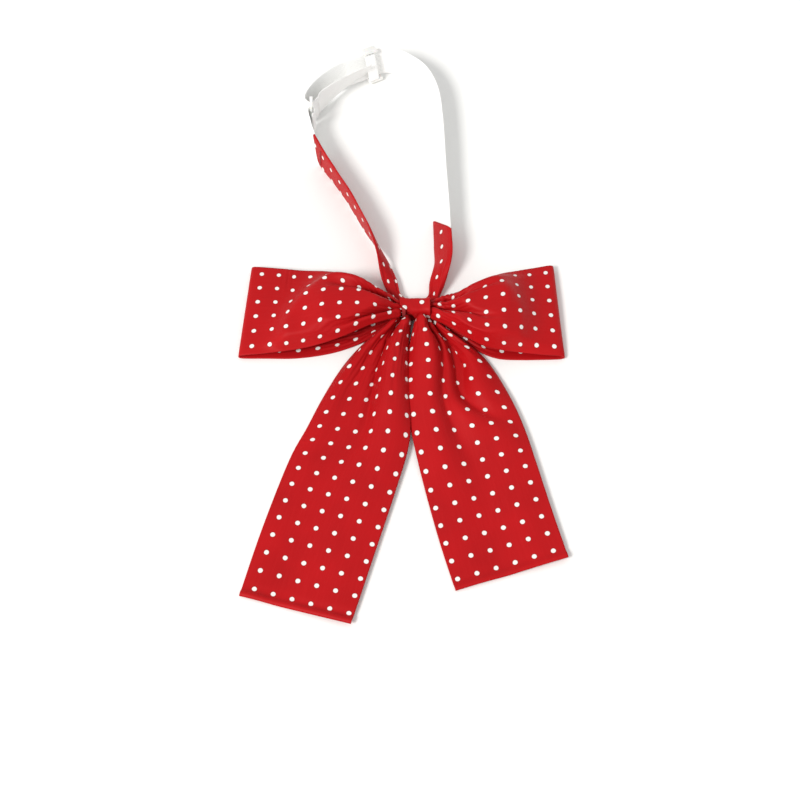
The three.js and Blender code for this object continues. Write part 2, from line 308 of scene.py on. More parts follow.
# ---- materials ----
def nodes_of(name):
    """A material with its shader, and functions that add a node and join two sockets. When
    the material is there already, the other three are None."""
    mat = bpy.data.materials.get(name)
    if mat is not None:
        return mat, None, None, None
    mat = bpy.data.materials.new(name)
    mat.use_nodes = True
    tree = mat.node_tree
    tree.nodes.clear()
    out = tree.nodes.new("ShaderNodeOutputMaterial")
    shader = tree.nodes.new("ShaderNodeBsdfPrincipled")
    tree.links.new(shader.outputs[0], out.inputs[0])

    def add(kind, **values):
        node = tree.nodes.new(kind)
        for key, value in values.items():
            if hasattr(node, key):
                setattr(node, key, value)
            else:
                node.inputs[key].default_value = value
        return node

    return mat, shader, add, tree.links.new


def vector_math(add, join, operation, a, b=None):
    node = add("ShaderNodeVectorMath", operation=operation)
    join(a, node.inputs[0])
    if b is not None:
        if isinstance(b, (tuple, list)):
            node.inputs[1].default_value = b
        else:
            join(b, node.inputs[1])
    return node.outputs["Value" if operation == "LENGTH" else "Vector"]


def ramp(add, join, value, low, high, to_low, to_high):
    node = add("ShaderNodeMapRange")
    join(value, node.inputs["Value"])
    ends = {"From Min": low, "From Max": high, "To Min": to_low, "To Max": to_high}
    for key, number in ends.items():
        node.inputs[key].default_value = number
    return node.outputs["Result"]


def mix(add, join, factor, a, b, blend="MIX"):
    node = add("ShaderNodeMix", data_type="RGBA", blend_type=blend)
    colours = [s for s in node.inputs if s.type == "RGBA"]
    for socket, value in ((node.inputs["Factor"], factor), (colours[0], a), (colours[1], b)):
        if isinstance(value, bpy.types.NodeSocket):
            join(value, socket)
        elif isinstance(value, (int, float)):
            socket.default_value = value
        else:
            socket.default_value = (*value, 1)
    return [s for s in node.outputs if s.type == "RGBA"][0]


def threads(add, join, coords, pitch, turn):
    """Fine parallel threads: a sine wave across a direction of the flat cloth. The node's
    wave repeats 20 / (2 pi) times in a unit of length at scale 1."""
    place = add("ShaderNodeMapping")
    join(coords, place.inputs["Vector"])
    place.inputs["Rotation"].default_value = (0, 0, turn)
    wave = add("ShaderNodeTexWave", wave_type="BANDS", bands_direction="X", wave_profile="SIN")
    wave.inputs["Scale"].default_value = 2 * math.pi / (20 * pitch)
    join(place.outputs["Vector"], wave.inputs["Vector"])
    return wave.outputs["Fac"]


def dotted_cloth():
    """Red satin-faced cloth with woven white dots on a square lattice: the distance from the
    nearest lattice point of the flat cloth decides between dot and ground."""
    s = bpy.context.scene.bow_cloth
    mat, shader, add, join = nodes_of("bow_cloth_dotted")
    if shader is None:
        return mat
    flat = add("ShaderNodeUVMap", uv_map="flat").outputs["UV"]
    place = add("ShaderNodeTexCoord").outputs["Object"]
    wobble = add("ShaderNodeTexNoise", Scale=900.0, Detail=1.0)
    join(flat, wobble.inputs["Vector"])
    ragged = vector_math(add, join, "SUBTRACT", wobble.outputs["Color"], (0.5, 0.5, 0.5))
    ragged = vector_math(add, join, "MULTIPLY", ragged, (0.0003, 0.0003, 0))
    at = vector_math(add, join, "ADD", flat, ragged)
    cell = vector_math(add, join, "MULTIPLY", at, (1 / s.dot_pitch, 1 / s.dot_pitch, 0))
    cell = vector_math(add, join, "ADD", cell, (0.5, 0.5, 0))
    cell = vector_math(add, join, "FRACTION", cell)
    cell = vector_math(add, join, "SUBTRACT", cell, (0.5, 0.5, 0))
    away = vector_math(add, join, "LENGTH", cell)
    radius = s.dot_width / 2 / s.dot_pitch
    dot = ramp(add, join, away, radius - 0.012, radius + 0.012, 1.0, 0.0)
    twill = threads(add, join, flat, 0.00042, math.radians(62))
    weft = threads(add, join, flat, 0.00036, 0.0)
    cloud = add("ShaderNodeTexNoise", Scale=38.0, Detail=3.0)
    join(place, cloud.inputs["Vector"])
    slub_and_sheen = add("ShaderNodeTexNoise", Scale=260.0, Detail=2.0)
    stretch = add("ShaderNodeMapping")
    stretch.inputs["Scale"].default_value = (0.25, 3.0, 1.0)
    join(flat, stretch.inputs["Vector"])
    join(stretch.outputs["Vector"], slub_and_sheen.inputs["Vector"])
    deep = tuple(c * 0.86 for c in s.red)
    ground = mix(add, join, ramp(add, join, cloud.outputs["Fac"], 0.3, 0.7, 0, 1), deep, s.red)
    # painted sheen: lighter, whiter streaks along the threads where the slub noise is high; the
    # same noise also raises the slubs in the bump
    sheen_streak = tuple(min(1.0, c * 1.12 + 0.008) for c in s.red)
    ground = mix(add, join, ramp(add, join, slub_and_sheen.outputs["Fac"], 0.45, 0.8, 0, 0.2), ground, sheen_streak)
    ground = mix(add, join, ramp(add, join, twill, 0, 1, 0, 0.22), ground, deep)
    ring = ramp(add, join, away, radius + 0.012, radius + 0.060, 0.60, 0.0)
    ground = mix(add, join, ring, ground, tuple(c * 0.45 for c in s.red))
    grey = tuple(c * 0.9 for c in s.dots)
    white = mix(add, join, ramp(add, join, weft, 0, 1, 0, 0.3), tuple(s.dots), grey)
    join(mix(add, join, dot, ground, white), shader.inputs["Base Color"])
    join(ramp(add, join, dot, 0, 1, 0.52, 0.72), shader.inputs["Roughness"])
    shader.inputs["Specular IOR Level"].default_value = 0.14
    shader.inputs["Sheen Weight"].default_value = 0.05
    shader.inputs["Sheen Roughness"].default_value = 0.45
    shader.inputs["Sheen Tint"].default_value = (1.0, 0.3, 0.28, 1)
    height = add("ShaderNodeMath", operation="ADD")
    join(ramp(add, join, twill, 0, 1, 0, 0.5), height.inputs[0])
    join(ramp(add, join, dot, 0, 1, 0, 0.9), height.inputs[1])
    grain = add("ShaderNodeMath", operation="ADD")
    join(height.outputs[0], grain.inputs[0])
    join(ramp(add, join, slub_and_sheen.outputs["Fac"], 0.3, 0.7, 0, 0.8), grain.inputs[1])
    bump = add("ShaderNodeBump", Strength=0.30, Distance=0.00012)
    join(grain.outputs[0], bump.inputs["Height"])
    join(bump.outputs["Normal"], shader.inputs["Normal"])
    return mat


def elastic_cloth():
    """White woven elastic: ribs across the band, and cords along it, both from the flat map."""
    s = bpy.context.scene.bow_band
    mat, shader, add, join = nodes_of("bow_elastic")
    if shader is None:
        return mat
    flat = add("ShaderNodeUVMap", uv_map="flat").outputs["UV"]
    ribs = threads(add, join, flat, 0.0009, 0.0)
    cords = threads(add, join, flat, 0.0013, math.radians(90))
    fuzz = add("ShaderNodeTexNoise", Scale=700.0, Detail=2.0)
    join(flat, fuzz.inputs["Vector"])
    rib, furrow = (tuple(c * share for c in s.white) for share in (0.93, 0.9))
    shade = mix(add, join, ramp(add, join, ribs, 0, 1, 0, 0.5), tuple(s.white), rib)
    shade = mix(add, join, ramp(add, join, cords, 0, 0.6, 0.35, 0), shade, furrow)
    join(shade, shader.inputs["Base Color"])
    join(ramp(add, join, fuzz.outputs["Fac"], 0.3, 0.7, 0.75, 0.95), shader.inputs["Roughness"])
    shader.inputs["Sheen Weight"].default_value = 0.3
    shader.inputs["Sheen Roughness"].default_value = 0.5
    total = add("ShaderNodeMath", operation="ADD")
    join(ribs, total.inputs[0])
    join(cords, total.inputs[1])
    bump = add("ShaderNodeBump", Strength=0.5, Distance=0.00015)
    join(total.outputs[0], bump.inputs["Height"])
    join(bump.outputs["Normal"], shader.inputs["Normal"])
    return mat


def white_plastic():
    """Moulded white plastic: a smooth glossy skin with faint flow marks."""
    s = bpy.context.scene.bow_band
    mat, shader, add, join = nodes_of("bow_plastic")
    if shader is None:
        return mat
    place = add("ShaderNodeTexCoord").outputs["Object"]
    flow = add("ShaderNodeTexNoise", Scale=220.0, Detail=3.0)
    join(place, flow.inputs["Vector"])
    mark = ramp(add, join, flow.outputs["Fac"], 0.35, 0.7, 0, 1)
    shade = mix(add, join, mark, tuple(s.plastic), tuple(c * 0.95 for c in s.plastic))
    join(shade, shader.inputs["Base Color"])
    join(ramp(add, join, flow.outputs["Fac"], 0.3, 0.7, 0.28, 0.42), shader.inputs["Roughness"])
    shader.inputs["Specular IOR Level"].default_value = 0.5
    shader.inputs["Subsurface Weight"].default_value = 0.08
    bump = add("ShaderNodeBump", Strength=0.15, Distance=0.0001)
    join(flow.outputs["Fac"], bump.inputs["Height"])
    join(bump.outputs["Normal"], shader.inputs["Normal"])
    return mat


def sewing_thread():
    """Dark red sewing thread: two strands twisted together."""
    s = bpy.context.scene.bow_cloth
    mat, shader, add, join = nodes_of("bow_thread")
    if shader is None:
        return mat
    place = add("ShaderNodeTexCoord").outputs["Object"]
    twist = threads(add, join, place, 0.0005, math.radians(35))
    shade = mix(add, join, twist, tuple(c * 0.55 for c in s.red), tuple(c * 0.85 for c in s.red))
    join(shade, shader.inputs["Base Color"])
    shader.inputs["Roughness"].default_value = 0.6
    shader.inputs["Sheen Weight"].default_value = 0.2
    bump = add("ShaderNodeBump", Strength=0.6, Distance=0.0001)
    join(twist, bump.inputs["Height"])
    join(bump.outputs["Normal"], shader.inputs["Normal"])
    return mat


def flat_map(rows, columns, length, width, dot_along, dot_across):
    """The cloth's flat coordinates in mm, moved so that one dot lies at zero."""
    along = np.linspace(0, length, rows) - dot_along
    across = np.linspace(0, width, columns) - dot_across
    return np.stack(np.meshgrid(along, across, indexing="ij"), -1)


# ---- wings ----
# A station is a row of numbers: its point on the upper edge, its point on the lower edge, the
# crown between them, and two gathers, each with its place across, height and width. Points
# are in mm, x outwards from the knot. Stations run out along the front layer and back along
# the other one. A flat stretch has gathers of no height.
LEFT_FLAT = (0.27, 0, 0.12, 0.90, 0, 0.05)
RIGHT_FLAT = (0.22, 0, 0.11, 0.68, 0, 0.10)
LEFT_WING = [
    (8.6, 4.4, 9.6, 8.6, -4.6, 8.6, 4.0, 0.26, -8.5, 0.09, 0.60, -8.0, 0.09),
    (16, 9.0, 11.4, 17, -8.5, 11.6, 5.6, 0.27, -10.5, 0.10, 0.74, -9.4, 0.08),
    (26, 14.8, 12.6, 27, -13.2, 13.0, 6.4, 0.28, -12.0, 0.13, 0.84, -10.4, 0.065),
    (38, 21.0, 13.2, 42, -20.4, 12.4, 6.4, 0.27, -9.6, 0.13, 0.89, -7.4, 0.055),
    (53, 25.8, 10.2, 57, -24.8, 9.6, 3.6, 0.26, -1.8, 0.12, 0.90, -1.8, 0.05),
    (68, 28.8, 6.8, 71, -27.0, 6.8, 2.0, *LEFT_FLAT),
    (84, 30.8, 6.0, 88, -28.4, 5.2, 1.6, *LEFT_FLAT),
    (97.2, 32.3, 5.6, 102.4, -29.4, 4.2, 1.2, *LEFT_FLAT),
    (99.3, 32.5, 3.9, 104.6, -29.6, 2.6, 0.6, *LEFT_FLAT),
    (97.6, 32.3, 1.7, 102.8, -29.6, 1.1, 0.2, *LEFT_FLAT),
    (84, 31.0, 0.9, 88, -29.4, 0.8, 0.3, *LEFT_FLAT),
    (66, 28.4, 0.9, 70, -29.2, 0.8, 0.4, 0.27, 0, 0.12, 0.80, 0, 0.10),
    (48, 23.5, 1.0, 48, -25.2, 0.9, 0.8, 0.28, 0.6, 0.12, 0.75, 0.6, 0.10),
    (32, 17.0, 1.4, 32, -18.6, 1.2, 0.8, 0.29, 2.2, 0.12, 0.70, 2.4, 0.10),
    (19, 9.6, 2.2, 19, -10.6, 2.0, 0.6, 0.29, 3.4, 0.12, 0.70, 3.4, 0.10),
    (8.6, 4.4, 4.4, 8.6, -4.6, 4.2, 0.6, 0.29, 3.2, 0.10, 0.70, 3.2, 0.10),
]
RIGHT_WING = [
    (8.6, 4.2, 9.6, 8.6, -4.8, 7.6, 4.2, 0.16, -8.0, 0.07, 0.46, -9.0, 0.11),
    (15, 6.8, 11.4, 16, -10.2, 10.4, 6.2, 0.18, -11.4, 0.09, 0.48, -12.0, 0.12),
    (25, 10.2, 12.8, 26, -17.6, 12.2, 7.4, 0.20, -13.0, 0.14, 0.56, -13.5, 0.15),
    (37, 16.2, 13.2, 38, -25.6, 11.0, 8.0, 0.22, -11.0, 0.15, 0.64, -11.0, 0.15),
    (49, 22.6, 11.4, 50, -28.2, 8.4, 5.6, 0.22, -5.0, 0.14, 0.68, -3.6, 0.13),
    (60, 28.0, 7.0, 61, -28.6, 6.2, 2.2, *RIGHT_FLAT),
    (72, 31.0, 5.8, 74.6, -29.4, 5.0, 1.6, *RIGHT_FLAT),
    (82.4, 33.2, 5.8, 86.2, -29.8, 4.2, 1.2, *RIGHT_FLAT),
    (84.4, 33.6, 4.0, 88.4, -30.0, 2.6, 0.6, *RIGHT_FLAT),
    (82.8, 33.4, 1.8, 86.6, -30.2, 1.1, 0.2, *RIGHT_FLAT),
    (72, 32.0, 0.9, 74.6, -30.4, 0.8, 0.3, *RIGHT_FLAT),
    (60, 29.4, 0.9, 61, -30.4, 0.8, 0.4, *RIGHT_FLAT),
    (46, 24.4, 1.0, 47, -29.0, 0.9, 0.8, 0.25, 0.6, 0.11, 0.70, 0.6, 0.10),
    (32, 17.0, 1.4, 32, -21.0, 1.2, 0.8, 0.28, 2.2, 0.11, 0.70, 2.4, 0.10),
    (19, 9.4, 2.2, 19, -12.4, 2.0, 0.6, 0.29, 3.4, 0.11, 0.70, 3.4, 0.10),
    (8.6, 4.2, 4.4, 8.6, -4.8, 4.2, 0.6, 0.29, 3.2, 0.10, 0.70, 3.2, 0.10),
]
FOLD_STATION = 8  # the row of the outer fold


def puffed(height, near_top, middle, near_bottom, fall):
    """A puff of the front layer: a plateau that ends in a crest along a curve, given by how
    far out the crest lies near the top edge, in the middle and near the bottom edge. Past
    the crest it falls away exponentially, in about the distance fall."""

    def rise(grid, t, f):
        out = np.abs(grid[..., 0])
        top, bottom = near_top * (1 - f) * (1 - 2 * f), near_bottom * f * (2 * f - 1)
        bow = top + middle * 4 * f * (1 - f) + bottom
        past = np.maximum(out - bow, 0)
        outside = np.exp(-np.hypot(past, 1.2) / fall + 1.2 / fall)
        grown = smooth(out, 12, 36)
        inside = smooth(f, 0, 0.14) * smooth(1 - f, 0, 0.10)
        return height * outside * grown * inside * (t < FOLD_STATION)

    return rise


def make_wing(name, side, stations, puff, dot_along, dot_across):
    """A flattened loop of ribbon: out from the knot along the front, round the outer fold
    and back underneath. The first dot lies dot_along from the fold and dot_across from the
    upper edge, in mm."""
    cloth = bpy.context.scene.bow_cloth
    width = cloth.ribbon_width / MM
    turned = np.array(stations, float)
    turned[:, [0, 3]] *= side
    grid, length = pleated(turned, WING_COLUMNS, WING_SPACING, puff)
    rows, columns = grid.shape[:2]
    ds, dq = length / (rows - 1), width / (columns - 1)
    fold = int(np.argmax(side * grid[:, columns // 2, 0]))
    front = np.arange(rows)[:, None] <= fold
    out = side * grid[..., 0]
    tip = out.max()
    free = smooth(out, 9.5, 24)
    low = np.where(front & (out <= tip - 8), 2.2, LYING)
    under = 2.6 + 5 * (1 - smooth(out, 10, 34)) + 3 * smooth(out, tip - 6, tip)
    high = np.where(out > tip - 8, 8.0, np.where(front, 22.0, under))
    grid = settle(grid, ds, dq, free, low, high)
    uv = flat_map(rows, columns, length, width, fold * ds - dot_along, dot_across)
    wing = sheet_mesh(f"{name}_cloth", grid, uv)
    thicken(wing, cloth.thickness)
    place_piece(wing, dotted_cloth(), node=name)
    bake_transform(wing)


# ---- tails ----
# A station is its point on the inner edge, its point on the outer edge, the crown and three
# gathers, from the head in the knot down to the hem.
LEFT_TAIL = [
    (-2.6, -4.6, 5.2, -12.6, -4.4, 3.4, 1.5, 0.20, 3.0, 0.18, 0.52, -2.5, 0.10, 0.78, 2.5, 0.12),
    (-3.4, -12, 4.6, -20.5, -11.6, 2.4, 1.5, 0.21, 5.6, 0.19, 0.56, -2.2, 0.10, 0.78, 4.2, 0.12),
    (-4.2, -22, 2.4, -31.5, -21.0, 1.6, 1.5, 0.21, 9.4, 0.21, 0.49, -3.0, 0.06, 0.82, 4.0, 0.12),
    (-4.4, -37, 1.4, -43.2, -37.6, 0.8, 1.6, 0.19, 11.0, 0.21, 0.46, -3.2, 0.055, 0.86, 3.0, 0.12),
    (-4.0, -59, 1.0, -53.6, -57.5, 0.7, 1.6, 0.18, 9.4, 0.21, 0.44, -3.0, 0.055, 0.88, 1.8, 0.12),
    (-3.6, -87, 1.4, -62.6, -77.5, 0.6, 1.0, 0.20, 5.2, 0.23, 0.47, -2.0, 0.09, 0.88, 1.0, 0.12),
    (-11.4, -118.4, 2.4, -72.6, -99, 0.6, 0.6, 0.26, 1.8, 0.26, 0.62, -0.3, 0.18, 0.87, 0.6, 0.12),
    (-24.4, -162, 3.0, -86.2, -141.6, 0.6, 0.2, 0.30, 0.3, 0.24, 0.62, -0.6, 0.18, 0.87, 0.4, 0.12),
    (-35.6, -199, 3.2, -97, -182.2, 0.8, 0.2, 0.30, -0.5, 0.24, 0.62, -0.9, 0.22, 0.87, 0.3, 0.12),
]
RIGHT_TAIL = [
    (1.4, -4.6, 6.4, 12.6, -4.4, 3.4, 3.0, 0.24, 4.0, 0.20, 0.46, -5.0, 0.07, 0.70, -6.0, 0.08),
    (-0.6, -12, 6.4, 19.0, -11.4, 3.0, 5.4, 0.22, 3.4, 0.20, 0.46, -6.4, 0.07, 0.71, -9.6, 0.09),
    (-2.6, -22, 5.8, 30.0, -19.4, 2.2, 7.0, 0.22, 2.4, 0.18, 0.50, -6.5, 0.07, 0.70, -12.5, 0.10),
    (-4.4, -36, 5.0, 42.4, -32.6, 2.4, 7.2, 0.20, 1.6, 0.18, 0.44, -6.0, 0.06, 0.63, -13.0, 0.105),
    (-5.0, -59, 4.0, 54.4, -56.0, 3.2, 5.0, 0.18, 1.4, 0.16, 0.36, -5.0, 0.065, 0.57, -7.6, 0.11),
    (-1.5, -85.5, 2.6, 62.2, -76.8, 3.6, 2.6, 0.20, 1.0, 0.20, 0.40, -4.0, 0.10, 0.80, 0.6, 0.12),
    (5.2, -117.2, 1.0, 68.6, -100.4, 3.8, 1.0, 0.20, 0.6, 0.20, 0.46, -1.6, 0.16, 0.80, 0.4, 0.12),
    (13.2, -150, 0.8, 76.6, -131.8, 3.6, 0.2, 0.20, 0.4, 0.20, 0.46, -1.0, 0.18, 0.80, 0.2, 0.12),
    (21.6, -179.2, 0.8, 84.2, -159.8, 3.2, 0.2, 0.20, 0.4, 0.20, 0.46, -0.8, 0.18, 0.80, 0, 0.12),
]


def make_tail(name, side, stations, hem, dot_hem, dot_across):
    """A long ribbon that opens from its gathered head in the knot to its full width and
    ends in a turned hem, a ridge of height hem along its end. The last row of dots lies
    dot_hem from the end, and the first column dot_across from the inner edge, in mm."""
    cloth = bpy.context.scene.bow_cloth
    width = cloth.ribbon_width / MM
    grid, length = pleated(stations, TAIL_COLUMNS, TAIL_SPACING)
    rows, columns = grid.shape[:2]
    ds, dq = length / (rows - 1), width / (columns - 1)
    down = -grid[..., 1]
    free = smooth(down, 7, 20) * np.ones((rows, columns))
    low = np.full((rows, columns), LYING)
    if side == RIGHT:  # its inner edge lies over the left tail
        low += 1.6 * smooth(-grid[..., 0], -9, -4) * (1 - smooth(down, 84, 100))
    high = 16.0
    grid = settle(grid, ds, dq, free, low, high)
    to_hem = np.linspace(length, 0, rows)[:, None]
    ridge = np.exp(-(((to_hem - 1.9) / 1.3) ** 2))
    dip = np.exp(-(((to_hem - 5.2) / 2.0) ** 2))
    grid[..., 2] += hem * (ridge - 0.4 * dip)
    grid[..., 2] = np.maximum(grid[..., 2], low)
    uv = flat_map(rows, columns, length, width * FULL_DOTS, length - dot_hem, dot_across)
    tail = sheet_mesh(f"{name}_cloth", grid, uv)
    thicken(tail, cloth.thickness)
    place_piece(tail, dotted_cloth(), node=name)
    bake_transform(tail)


# ---- strips: straps and bands that stand on edge ----
# A station is [x, y, lean, lift, share]: a point of the strip's middle in mm, the lean of
# its width above the table in degrees, the height of its lower edge and the share of the
# full width there.
RIGHT_STRAP = [
    (10.5, 8.6, 0, 3.3, 0.54), (11.8, 13.6, 2, 3.6, 0.37), (14.2, 23.6, 35, 2.9, 0.66),
    (17.4, 36, 55, 1.2, 0.95), (17.4, 49, 58, 0.7, 1), (17.1, 62, 59, 0.7, 1),
]
LEFT_STRAP = [
    (-10.5, 8.6, 0, 3.3, 0.54), (-12.4, 13.6, 2, 3.6, 0.37), (-15.4, 22.6, 22, 3.4, 0.5),
    (-20.5, 38, 62, 3.6, 0.70), (-27.0, 54, 84, 2.4, 0.9), (-36.5, 73, 88, 1.4, 1),
    (-48.5, 96, 88, 0.7, 1), (-55.4, 108, 91, 0.6, 1), (-61.6, 119.6, 95, 0.6, 1),
]


def strip(stations, width, count, outwards=1.0):
    """Frames along a strip: its middle, the direction across it and the direction out of its
    face, each evenly spaced along it."""
    x, y, lean, lift, share = np.array(stations, float).T
    wide = width * share
    middle = np.stack([x, y, lift + wide / 2 * np.sin(np.radians(lean)), lean, wide], -1)
    t = np.linspace(0, len(x) - 1, 60 * (len(x) - 1) + 1)
    fine = glide(middle, t)
    step = np.linalg.norm(np.diff(fine[:, :3], axis=0), axis=1)
    dist = np.concatenate([[0], np.cumsum(step)])
    want = np.linspace(0, dist[-1], count)
    even_rows = np.stack([np.interp(want, dist, fine[:, k]) for k in range(5)], -1)
    centre = even_rows[:, :3]
    along = np.gradient(centre, axis=0)
    along /= np.linalg.norm(along, axis=1)[:, None]
    side = np.stack([along[:, 1], -along[:, 0], 0 * along[:, 0]], -1) * outwards
    side /= np.linalg.norm(side, axis=1)[:, None]
    angle = np.radians(even_rows[:, 3])[:, None]
    across = side * np.cos(angle) + np.array([[0, 0, 1.0]]) * np.sin(angle)
    face = np.cross(across, along)
    face /= np.linalg.norm(face, axis=1)[:, None]
    return centre, across, face, even_rows[:, 4], dist[-1]


def tube_mesh(centre, across, face, wide, thick, around, uv_across, length, offset=(0, 0)):
    """The grid and flat map of a flat tube: an oval section, wide across and thick through,
    carried along the strip's middle."""
    n = len(centre)
    angle = np.linspace(0, 2 * np.pi, around, endpoint=False)
    c, s = np.cos(angle), np.sin(angle)
    c = np.sign(c) * np.abs(c) ** 0.55
    s = np.sign(s) * np.abs(s) ** 0.8
    grid = (
        centre[:, None]
        + across[:, None] * (c[None] * wide[:, None] / 2)[..., None]
        + face[:, None] * (s[None] * thick[:, None] / 2)[..., None]
    )
    grid = np.concatenate([grid, grid[:, :1]], axis=1)
    flat = np.concatenate([c, c[:1]]) * uv_across / 2
    along = np.linspace(0, length, n)
    uv = np.stack(np.meshgrid(along - offset[0], flat - offset[1], indexing="ij"), -1)
    return grid, uv


def closed_tube(name, grid, uv):
    """Makes a tube's grid a closed mesh: its seam is merged and its ends are capped."""
    n, m = grid.shape[0], grid.shape[1] - 1
    index = np.arange(n * m).reshape(n, m)
    ring = np.concatenate([index, index[:, :1]], axis=1)
    quads = np.stack([ring[:-1, :-1], ring[1:, :-1], ring[1:, 1:], ring[:-1, 1:]], -1)
    verts = grid[:, :-1].reshape(-1, 3) * MM
    ends = [index[0].tolist(), index[-1][::-1].tolist()]
    mesh = bpy.data.meshes.new(name)
    mesh.from_pydata(verts.tolist(), [], quads.reshape(-1, 4).tolist() + ends)
    layer = mesh.uv_layers.new(name="flat")
    at = np.stack([uv[:-1, :-1], uv[1:, :-1], uv[1:, 1:], uv[:-1, 1:]], 2).reshape(-1, 2)
    caps = np.concatenate([uv[0, :-1], uv[-1, :-1][::-1]])
    layer.data.foreach_set("uv", (np.concatenate([at, caps]) * MM).astype(np.float32).ravel())
    mesh.polygons.foreach_set("use_smooth", np.ones(len(mesh.polygons), bool))
    mesh.update()
    fix = bmesh.new()
    fix.from_mesh(mesh)
    bmesh.ops.recalc_face_normals(fix, faces=fix.faces)
    fix.to_mesh(mesh)
    fix.free()
    obj = bpy.data.objects.new(name, mesh)
    bpy.context.collection.objects.link(obj)
    return obj


def make_strap(name, side, stations, dot_along, dot_across, slant, rumple):
    """A folded strap of the dotted cloth, gathered where it enters the knot. Its free end
    is cut aslant and a little ragged: the upper edge reaches further by slant, the lower
    edge less by as much."""
    width, count = STRAP_WIDTH, 150
    centre, across, face, wide, length = strip(stations, width, count, outwards=side)
    s = np.linspace(0, length, count)
    gathered = 1 - smooth(s, 4, 34)
    filled = smooth(s, length - 40, length - 22)  # where the elastic lies inside
    loose = smooth(s, 10, 34) * (1 - filled)
    thick = 1.8 + 1.6 * gathered + 0.3 * filled + 0.3 * np.sin(s / 5.5 + rumple) * loose
    wide = wide * (1 + 0.03 * filled + 0.025 * np.sin(s / 7.0 + rumple) * (1 - filled))
    centre = centre + face * (0.35 * np.sin(s / 8.0 + 2 * rumple) * loose)[:, None]
    offset = (dot_along, dot_across)
    grid, uv = tube_mesh(centre, across, face, wide, thick, 48, width, length, offset)
    place = (uv[..., 1] + dot_across) / (width / 2)
    pleat = np.cos(place * np.pi * 3)
    grid = grid + face[:, None] * (0.5 * gathered[:, None] * pleat)[..., None]
    along = np.gradient(centre, axis=0)
    along /= np.linalg.norm(along, axis=1)[:, None]
    cut = slant * place + 0.45 * np.sin(9 * place + rumple) + 0.25 * np.sin(23 * place)
    cut = cut * smooth(s, length - 26, length)[:, None]
    grid += along[:, None] * cut[..., None]
    uv[..., 0] += cut
    strap = closed_tube(f"{name}_cloth", grid, uv)
    place_piece(strap, dotted_cloth(), node=name)
    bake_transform(strap)


# ---- knot ----
def make_knot_band():
    """The knot's band: a loop of ribbon round the waist. Its section in Y and Z is a rounded
    box. On the side of the tails its left edge slants over to the right, so that it narrows.
    Its edges roll inwards, and shallow creases run slantwise across its front."""
    low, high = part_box("knot_band")
    y0, y1, z0, z1 = low[1] / MM, high[1] / MM, low[2] / MM, high[2] / MM
    around, wide = 132, 31
    angle = np.linspace(0, 2 * np.pi, 1441) - np.pi / 2
    cy, cz = np.cos(angle), np.sin(angle)
    corner = 0.45  # the nearer to 0, the squarer the box
    y = (y0 + y1) / 2 + (y1 - y0 - KNOT_CLOTH) / 2 * np.sign(cy) * np.abs(cy) ** corner
    z = (z0 + z1) / 2 + (z1 - z0 - KNOT_CLOTH) / 2 * np.sign(cz) * np.abs(cz) ** corner
    section, loop = even(np.stack([y, z], -1), around + 1)
    y, z = section[:-1].T
    c = np.linspace(-1, 1, wide)
    along = np.linspace(-loop / 2, loop / 2, around + 1)  # from the middle of the front
    half_top = (y1 - y0) / 2
    places = [-loop / 2, 1.0, half_top, half_top + 13, half_top + 18]
    left = np.interp(along[:-1], places, [-KNOT_HALF, -KNOT_HALF, -2.6, 4.4, -KNOT_HALF])
    for _ in range(6):
        left = (np.roll(left, 1) + 2 * left + np.roll(left, -1)) / 4
    right = np.interp(along[:-1], places, [KNOT_HALF, KNOT_HALF, KNOT_HALF, 8.4, KNOT_HALF])
    x = left[:, None] * (1 - c) / 2 + right[:, None] * (1 + c) / 2
    grid = np.stack(np.broadcast_arrays(x, y[:, None], z[:, None]), -1)
    out = np.stack([0 * y, np.gradient(z), -np.gradient(y)], -1)
    out *= -1 / np.linalg.norm(out, axis=1)[:, None]
    rolled = -0.7 * np.abs(c) ** 6
    crease = 0.10 * np.sin((x * 0.5 + y[:, None] * 0.5) * 1.4 + 0.8)
    crown = 0.35 * (1 - c**2)
    grid += out[:, None] * (rolled + crease + crown)[..., None]
    grid[..., 2] = np.maximum(grid[..., 2], 0.5)
    across = np.vstack([x, x[:1]])
    uv = np.stack(np.broadcast_arrays(along[:, None], across), -1)
    turn = math.radians(20)  # the cloth is cut a little aslant
    cos, sin = math.cos(turn), math.sin(turn)
    uv = (uv - np.array([-1.0, 4.1])) @ np.array([[cos, -sin], [sin, cos]])
    band = sheet_mesh("knot_band_cloth", grid, uv, closed=True)
    thicken(band, KNOT_CLOTH * MM)
    place_piece(band, dotted_cloth(), "knot", "knot_band")


def make_bundle(node, folds, depth):
    """Gathered cloth inside the knot: a rounded block whose skin is drawn into folds that
    run from wing to wing."""
    low, high = (np.array(v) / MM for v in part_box(node))
    half, centre = (high - low) / 2, (high + low) / 2
    around, count = 96, 20
    angle = np.linspace(0, 2 * np.pi, around, endpoint=False)
    c, s = np.cos(angle), np.sin(angle)
    y = (half[1] - depth) * np.sign(c) * np.abs(c) ** 0.6
    z = (half[2] - depth) * np.sign(s) * np.abs(s) ** 0.6
    wave = depth * (0.5 + 0.5 * np.cos(folds * angle))
    size = np.hypot(y, z)
    y, z = y * (1 + wave / size), z * (1 + wave / size)
    t = np.linspace(-1, 1, count)
    neck = 1 - 0.12 * np.exp(-((np.abs(t) - 0.72) / 0.12) ** 2)
    grid = np.stack([
        np.broadcast_to(centre[0] + t[:, None] * half[0], (count, around)),
        centre[1] + neck[:, None] * y[None],
        centre[2] + neck[:, None] * z[None],
    ], -1)
    grid = np.concatenate([grid, grid[:, :1]], axis=1)
    along = np.linspace(0, 2 * half[0], count)
    flat = np.linspace(0, 66, around + 1)
    uv = np.stack(np.meshgrid(along, flat, indexing="ij"), -1)
    piece = closed_tube(f"{node}_cloth", grid, uv)
    place_piece(piece, dotted_cloth(), "knot", node)


